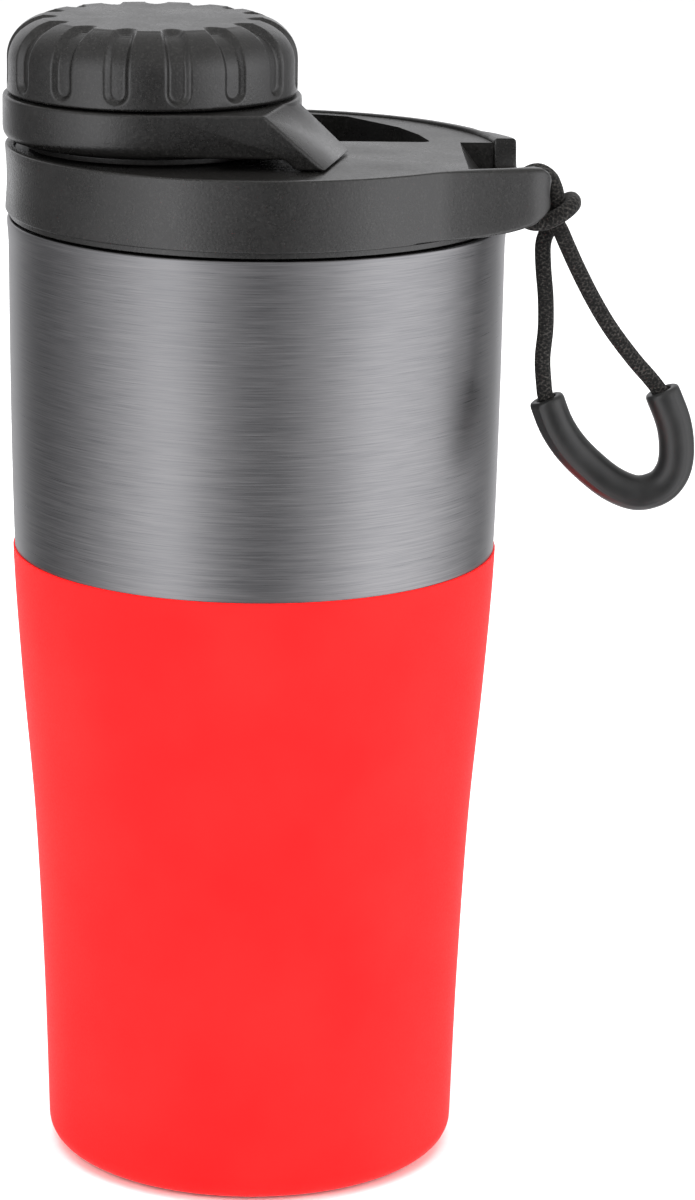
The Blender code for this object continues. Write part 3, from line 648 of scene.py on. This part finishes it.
def floor():
    bm = bmesh.new()
    size = 6.0
    corners = [bm.verts.new((x * size, y * size, -0.0004)) for x, y in ((-1, -1), (1, -1), (1, 1), (-1, 1))]
    bm.faces.new(corners)
    obj = finish_mesh("floor", bm, floor_paper())
    obj.visible_glossy = False


# ---------------------------------------------------------------- cord and grip

def frames_along(points):
    """A steady sideways vector for each point of a line."""
    side = Vector((0.0, 1.0, 0.0))
    result = []
    for i in range(len(points)):
        ahead = (points[min(i + 1, len(points) - 1)] - points[max(i - 1, 0)]).normalized()
        side = (side - ahead * side.dot(ahead)).normalized()
        result.append((side, ahead.cross(side)))
    return result


def cord_tube(name, points, mat):
    """A braided cord: round ends, and a UV map that its weave follows."""
    around = 32
    line = even(points, 0.3)
    frames = frames_along(line)
    total = length_of(line)
    bm = bmesh.new()
    layer = bm.loops.layers.uv.new("UVMap")
    rows = []
    places = []
    walked = 0.0
    for i, point in enumerate(line):
        if i:
            walked += (point - line[i - 1]).length
        side, up = frames[i]
        from_end = min(walked, total - walked)
        rounding = math.sqrt(max(0.0, 1 - (1 - min(1.0, from_end / CORD)) ** 2)) if from_end < CORD else 1.0
        ring = []
        radius = CORD * max(0.08, rounding)
        for k in range(around):
            turn = k / around
            spoke = side * math.cos(math.tau * turn) + up * math.sin(math.tau * turn)
            ring.append(bm.verts.new((point + spoke * radius) * MM))
        rows.append(ring)
        places.append(walked)
    for i in range(len(rows) - 1):
        for k in range(around):
            j = (k + 1) % around
            face = bm.faces.new((rows[i][k], rows[i][j], rows[i + 1][j], rows[i + 1][k]))
            spots = ((i, k), (i, k + 1), (i + 1, k + 1), (i + 1, k))
            for loop, (row, column) in zip(face.loops, spots):
                loop[layer].uv = (places[row], column / around)
    bm.faces.new(rows[0][::-1])
    bm.faces.new(rows[-1])
    return finish_mesh(name, bm, mat, 80.0), line


def make_cords():
    mat = braid()
    hitch_line = catmull(route(HITCH_HALF, 1.0) + route(HITCH_HALF)[::-1], 8)
    hitch, line = cord_tube("hitch_cord", hitch_line, mat)
    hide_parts("cord_hitch")
    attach(hitch, "lid")
    grip = make_grip()
    for name, points, node in (("left_strand", LEFT_STRAND, "cord_left_strand"),
                               ("right_strand", RIGHT_STRAND, "cord_right_strand")):
        strand, line = cord_tube(name, catmull(route(points), 8), mat)
        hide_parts(node)
        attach(strand, "pull")


def make_grip():
    """U-shaped rubber tube with rounded mouths and a fine mould line along it."""
    around = 72
    outer, bore, deep = 3.0, 1.62, 6.0
    seam_at, seam_high, seam_wide = 216.0, 0.09, 4.0
    line = even(catmull(route(GRIP_ROUTE), 12), 0.5)
    total = length_of(line)
    frames = frames_along(line)

    def station(s):
        t = max(0.0, min(1.0, s / total)) * (len(line) - 1)
        i = min(int(t), len(line) - 2)
        point = line[i].lerp(line[i + 1], t - i)
        return point, frames[i][0].lerp(frames[i + 1][0], t - i), frames[i][1].lerp(frames[i + 1][1], t - i)

    mouth = [(deep, bore), (0.5, bore), (0.15, bore + 0.08), (0.0, bore + 0.3), (0.0, 2.35)]
    mouth += [(0.04, 2.6), (0.14, 2.78), (0.3, 2.9), (0.55, 2.97), (0.9, outer)]
    profile = list(mouth)
    steps = 110
    profile += [(1.2 + (total - 2.4) * i / steps, outer) for i in range(steps + 1)]
    profile += [(total - s, r) for s, r in reversed(mouth)]
    rings = []
    for s, radius in profile:
        point, side, up = station(s)
        ring = []
        for k in range(around):
            angle = math.tau * k / around
            seam = 0.0
            if radius == outer:
                off = (math.degrees(angle) - seam_at + 180.0) % 360.0 - 180.0
                seam = seam_high * math.exp(-(off / seam_wide) ** 2)
            reach = radius + seam
            ring.append(point + (side * math.cos(angle) + up * math.sin(angle)) * reach)
        rings.append(ring)
    bm = bmesh.new()
    add_rings(bm, rings)
    grip = finish_mesh("grip_tube", bm, rubber("grip_rubber", 0.008, 0.016, 0.36), 70.0)
    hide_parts("pull_grip")
    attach(grip, "pull")
    return grip


# ---------------------------------------------------------------- vessel

def base_corner(inset, floor_z):
    """The rounded foot of the vessel's outline, no lower than floor_z."""
    centre = (body_radius(0.0) - BASE_FILLET, BASE_FILLET)
    return [(r, max(z, floor_z)) for r, z in arc(centre, BASE_FILLET - inset, -90.0, 0.0, 14)]


def make_vessel():
    steel = brushed_steel()
    liner_steel = spun_steel("liner_steel", 0.45, 0.62, 0.2)
    coat = red_coat()

    outline = [(29.8, 0.0, 0.2)] + base_corner(0.0, 0.0) + wall(5.0, COAT_TOP - 0.8, 0.0)
    outline += [(body_radius(COAT_TOP), COAT_TOP, 0.2), (body_radius(COAT_TOP) - 0.27, COAT_TOP)]
    outline += [(body_radius(COAT_TOP) - 0.27, COAT_TOP - 1.0)]
    outline += wall(5.0, COAT_TOP - 1.3, 0.6)[::-1] + base_corner(0.6, 0.0)[::-1] + [(29.8, 0.6)]
    sleeve = revolve("red_sleeve", soften(outline), coat)
    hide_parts("lower_colour_coat")

    edge = body_radius(VESSEL_TOP) - 0.08
    outline = [(5.3, 0.9)] + base_corner(0.9, 0.9) + wall(5.0, COAT_TOP - 1.4, 0.9)
    outline += wall(COAT_TOP - 0.9, 161.0, 0.3) + [(edge - 0.1, 163.0), (edge, 164.0)]
    outline += [(edge, VESSEL_TOP, 0.5), (edge - 1.2, VESSEL_TOP)]
    outline += [(edge - 1.2, 163.0)] + wall(COAT_TOP - 0.3, 162.0, 0.9)[::-1]
    outline += wall(5.0, COAT_TOP - 1.0, 1.5)[::-1] + base_corner(1.5, 1.5)[::-1] + [(5.3, 1.5)]
    shell = revolve("steel_shell", soften(outline), steel)
    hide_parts("outer_steel_shell")

    low = 13.0
    outside, inside = 3.9, 4.5
    outline = [(0.0, 8.4), (body_radius(low) - outside, 8.4, 4.0)] + wall(low, 145.0, outside)
    outline += [(38.8, 150.0), (38.8, VESSEL_TOP - 0.6), (edge - 1.25, VESSEL_TOP - 0.6)]
    outline += [(edge - 1.25, VESSEL_TOP, 0.2), (38.2, VESSEL_TOP, 0.5), (38.2, 150.0)]
    outline += wall(low, 145.0, inside)[::-1] + [(body_radius(low) - inside, 9.0, 3.6), (0.0, 9.0)]
    bm = bmesh.new()
    add_revolve(bm, soften(outline), segments=144)
    add_thread(bm, 38.5, 37.0, 4.0, 1.25, 153.8, 1.4)
    liner = finish_mesh("liner_cup", bm, liner_steel)
    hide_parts("inner_steel_liner")

    outline = [(0.0, 0.35), (9.0, 0.35, 0.5), (9.6, 0.0, 0.4), (24.0, 0.0, 0.4), (24.6, 0.3, 0.3)]
    outline += [(26.2, 0.3, 0.3), (26.8, 0.0, 0.4), (29.5, 0.0, 0.2), (29.5, 0.6), (0.0, 0.6)]
    disc = revolve("base_disc", soften(outline), spun_steel("base_steel", 0.38, 0.55, 0.26))
    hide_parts("base_cover")
    for piece in (sleeve, shell, liner, disc):
        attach(piece, "vessel")


# ---------------------------------------------------------------- lid

def rim(y):
    """Height of the carry band's top edge, which dips a little towards the back."""
    return 178.25 - (y + 42.0) / 84.0 * 1.3


def band_section(out, inner, low, high, fillet, waist):
    """A rounded upright section between an outer and an inner plan point."""
    across = Vector(inner) - Vector(out)
    width = across.length
    across.normalize()
    r = min(fillet, width * 0.4, (high - low) * 0.4)
    marks = arc((r, low + r), r, 270.0, 180.0, 3)
    span = high - low - 2 * r
    marks += [(waist * math.sin(math.pi * k / 6), low + r + span * k / 6) for k in range(1, 6)]
    marks += arc((r, high - r), r, 180.0, 90.0, 3)
    marks += arc((width - r, high - r), r, 90.0, 0.0, 3)
    marks += arc((width - r, low + r), r, 0.0, -90.0, 3)
    return [(out[0] + across.x * a, out[1] + across.y * a, z) for a, z in marks]


# (outer x, y, inner x, y, low, high) round the lug, from the ring's front to its side; the rim's
# own height is used where high is None
LUG = (
    (26.23, -33.57, 25.37, -32.47, 166.7, None),
    (30.0, -30.95, 28.8, -29.6, 166.7, None),
    (34.0, -29.35, 33.1, -27.2, 166.7, None),
    (38.0, -28.2, 37.2, -25.9, 166.9, None),
    (42.0, -27.2, 41.2, -24.7, 167.5, None),
    (45.2, -26.3, 43.7, -23.5, 168.4, None),
    (47.0, -25.3, 44.8, -22.4, 169.4, 177.9),
    (48.0, -24.1, 45.2, -21.5, 170.4, 177.2),
    (48.3, -22.8, 45.3, -20.9, 170.8, 176.3),
    (48.2, -21.6, 45.3, -20.4, 170.4, 175.0),
    (47.95, -20.4, 45.3, -19.8, 169.8, 174.1),
    (47.9, -18.5, 45.3, -18.5, 169.6, 173.8),
    (47.9, -14.5, 45.3, -14.5, 169.6, 173.8),
    (47.9, -11.0, 45.3, -11.0, 169.6, 173.8),
    (47.85, -9.0, 45.1, -8.9, 169.6, 173.8),
    (47.7, -7.8, 41.2, -8.2, 166.7, 172.8),
    (46.9, -4.0, 41.1, -4.0, 166.7, 172.8),
    (45.8, 0.5, 41.2, 0.5, 166.7, 172.8),
    (45.0, 4.0, 41.0, 4.0, 166.7, 172.8),
    (44.3, 7.4, 40.6, 7.4, 166.7, 172.9),
    (44.15, 8.1, 40.4, 8.1, 166.7, None),
    (43.9, 9.4, 40.1, 9.4, 166.7, None),
    (42.8, 12.0, 39.5, 11.8, 166.7, None),
    (41.0, 14.9, 38.4, 14.9, 166.7, None),
    (38.9, 17.35, 37.6, 16.8, 166.7, None),
)


def on_circle(radius, degrees):
    angle = math.radians(degrees)
    return (radius * math.cos(angle), radius * math.sin(angle))


def make_band(mat):
    """Carry band: the round part, the lug, and a low ring behind the lug."""
    stations = []
    for i in range(150):
        angle = 28.0 + 280.0 * i / 150
        out = on_circle(42.6, angle)
        stations.append((out, on_circle(41.2, angle), BAND_LOW, rim(out[1]), 0.3, 0.28))
    marks = []
    for ox, oy, ix, iy, low, high in LUG:
        marks.append((Vector((ox, oy, low)), Vector((ix, iy, rim(oy) if high is None else high))))
    outer = catmull([m[0] for m in marks], 6)
    inner = []
    for a, b in zip(marks, marks[1:]):
        inner += [a[1].lerp(b[1], k / 6) for k in range(6)]
    inner.append(marks[-1][1])
    for o, i in zip(outer, inner):
        fillet = 0.3 if o.x < 30.0 else min(0.9, 0.3 + (o.x - 30.0) * 0.06)
        if o.y > 7.0:
            fillet = 0.6
        stations.append(((o.x, o.y), (i.x, i.y), max(o.z, BAND_LOW), i.z, fillet, 0.2))
    bm = bmesh.new()
    add_rings(bm, [band_section(*s) for s in stations], closed=True)
    ring = []
    for i in range(50):
        angle = -43.0 + 67.0 * i / 49
        ring.append(band_section(on_circle(42.5, angle), on_circle(41.2, angle), BAND_LOW, 172.8, 0.3, 0.0))
    add_rings(bm, ring)
    return finish_mesh("lid_band", bm, mat, 55.0)


def make_deck(mat):
    """Deck with a straight-edged dish at the back, and a sloped step down to the lug."""
    outline = [(0.0, 167.3), (41.12, 167.3), (41.12, 176.7, 0.3), (0.0, 176.7)]
    deck = revolve("deck_plate", soften(outline, 5), mat)
    carve(deck, drum(14.8, 160.0, 180.0, mat, 96))
    side = [(29.7, 8.0, 1.5), (27.8, 16.0), (24.5, 24.0)]
    rear = arc((0.0, 0.0), 38.9, 66.0, 100.0, 12)
    flange = arc((SPOUT_X, 0.0), 23.5, 55.0, 20.0, 8)
    plan = soften(side + rear + flange, 5)
    carve(deck, prism("tool", plan, 171.0, 182.0, mat))
    top = [(34.2, 8.1), (36.2, -15.0), (34.6, -24.5), (50.0, -24.5), (50.0, 8.1)]
    foot = [(38.4, 8.1), (40.1, -15.0), (38.0, -24.5), (50.0, -24.5), (50.0, 8.1)]
    carve(deck, hull("tool", [(x, y, 177.2) for x, y in top] + [(x, y, 171.5) for x, y in foot], mat))
    return round_edges(deck, 0.4)


def make_collar(mat):
    """Ring round the neck, with an arm that slopes down onto the deck."""
    inner = 18.7
    ring = [(inner, 178.4, 0.3), (25.2, 178.4, 2.2), (25.2, 186.0, 0.7), (inner, 186.0, 0.3)]
    collar = revolve("collar_arm", soften(ring, 7), mat, SPOUT_X)
    # The arm's outline at its front and at its back: a block beside the ring, then a leg down to the deck
    front = [(-17.0, 186.0), (0.9, 186.0), (11.2, 177.0), (6.3, 177.0), (4.4, 178.75), (-17.0, 178.9)]
    back = [(-17.0, 186.0), (6.2, 186.0), (15.6, 177.0), (8.0, 177.0), (6.0, 178.75), (-17.0, 178.9)]
    bm = bmesh.new()
    add_rings(bm, [[(x, -24.9, z) for x, z in front], [(x, -4.0, z) for x, z in back]])
    arm = round_edges(finish_mesh("tool", bm, mat), 0.55, 20.0)
    carve(collar, arm, "UNION")
    carve(collar, drum(inner, 170.0, 190.0, mat))
    carve(collar, drum(21.3, 170.0, 178.4, mat))
    collar.data.shade_smooth()
    collar.data.set_sharp_from_angle(angle=math.radians(34.0))
    return collar


def make_neck(mat):
    outline = [(13.0, 150.4), (14.4, 150.4), (14.4, 177.0), (21.0, 177.0, 0.2), (21.0, 178.1, 0.3)]
    outline += [(18.3, 178.1, 0.3), (18.3, 194.8, 0.8), (15.8, 194.8, 0.8)]
    outline += [(15.8, 181.2, 2.0), (13.0, 177.7, 2.0)]
    bm = bmesh.new()
    add_revolve(bm, soften(outline, 5), SPOUT_X, 144)
    add_thread(bm, 17.9, 19.5, 3.0, 1.5, 188.6, 1.1, SPOUT_X)
    return finish_mesh("neck_tube", bm, mat)


def make_lid():
    plastic = moulded("black_plastic", 0.003, 0.009, 0.30, 0.42)
    band_mat = moulded("band_plastic", 0.003, 0.009, 0.29, 0.42)
    inner = moulded("inner_plastic", 0.008, 0.014, 0.36, 0.2)
    outline = [(0.0, 165.5), (41.9, 165.5, 0.2), (41.9, 166.45)]
    outline += [(41.0, 166.45), (41.0, 167.0), (0.0, 167.0)]
    plate = revolve("base_flange", soften(outline), plastic)
    carve(plate, drum(14.8, 160.0, 170.0, plastic, 96))
    pieces = (
        (plate, "lid_base_plate", "black_plastic"),
        (make_deck(plastic), "lid_deck", "black_plastic"),
        (make_band(band_mat), "carry_band", "band_plastic"),
        (make_collar(plastic), "spout_collar", "black_plastic"),
        (make_neck(inner), "spout_neck", "inner_plastic"),
    )
    for piece, node, slot in pieces:
        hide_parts(node)
        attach(piece, "lid")
    return plastic, inner


# ---------------------------------------------------------------- cap

def make_cap(mat):
    """Cap with a softly rounded shoulder and grip grooves that run up over it."""
    radius, low, high, shoulder, disc = 24.45, 186.3, 198.8, 191.9, 18.7
    round_out, round_up, round_to = 7.7, 7.0, 75.0
    outer = [(radius - 0.5, low), (radius - 0.12, low + 0.12), (radius, low + 0.5)]
    outer += [(radius, low + 0.5 + (shoulder - low - 0.5) * i / 30) for i in range(1, 31)]
    for i in range(1, 21):
        angle = math.radians(round_to * i / 20)
        out = radius - round_out + round_out * math.cos(angle)
        outer.append((out, shoulder + round_up * math.sin(angle)))
    on_disc = len(outer)
    outer += [(disc - 0.25 - 0.35 * i, high) for i in range(12)] + [(12.0, high), (0.0, high)]
    count = len(outer)
    inside = [(0.0, 197.8), (18.0, 197.8), (22.4, 194.6), (22.4, low)]
    grooves, per_groove = 15, 40
    phase = math.radians(-78.6)
    spacing = math.tau / grooves
    half, flat, deep = 2.1, 1.25, 0.95
    lowest = low + 0.9 + half

    def shape(angle, index, r, z):
        """Sink a point into its groove, inwards on the wall and downwards on the disc."""
        if index >= count:
            return r, z
        offset = ((angle - phase + spacing / 2) % spacing - spacing / 2) * max(r, 20.0)
        away = max(0.0, lowest - z)
        if index >= on_disc:
            away = (disc - r) * 0.75
        distance = math.hypot(offset, away)
        if distance >= half:
            return r, z
        cut = deep * min(1.0, (half - distance) / (half - flat))
        tilt = 0.0 if z <= shoulder else min(1.0, (z - shoulder) / round_up) * math.pi / 2
        return r - cut * math.cos(tilt), z - cut * math.sin(tilt)

    bm = bmesh.new()
    add_revolve(bm, outer + inside, SPOUT_X, grooves * per_groove, shape)
    return finish_mesh("cap_cover", bm, mat, 60.0)


def make_caps(plastic):
    cover = make_cap(plastic)
    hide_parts("cap_shell")
    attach(cover, "cap")


# ---------------------------------------------------------------- hidden pieces

def paint(node, mat):
    """Give a CAD node that stays as it is a material."""
    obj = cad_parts[node]
    for place in obj.material_slots:
        place.material = mat


def paint_hidden(inner):
    silicone = rubber("silicone", 0.08, 0.12, 0.5)
    paint("lid_gasket", silicone)
    paint("cap_gasket", silicone)
    paint("lid_plug", inner)
    paint("cap_liner", inner)
    for node, name, dark, light, rough, scale in (
        ("foam_insert", "foam", (0.72, 0.70, 0.64), (0.88, 0.87, 0.82), 0.85, 1400.0),
        ("vacuum_port_seal", "port_seal", (0.20, 0.18, 0.15), (0.34, 0.32, 0.28), 0.45, 900.0),
        ("getter_pellet", "getter_alloy", (0.16, 0.16, 0.16), (0.34, 0.34, 0.33), 0.7, 2000.0),
    ):
        paint(node, grainy(name, dark + (1.0,), light + (1.0,), rough, scale))


camera()
make_cords()
studio()
floor()
make_vessel()
plastic, inner_plastic = make_lid()
make_caps(plastic)
paint_hidden(inner_plastic)
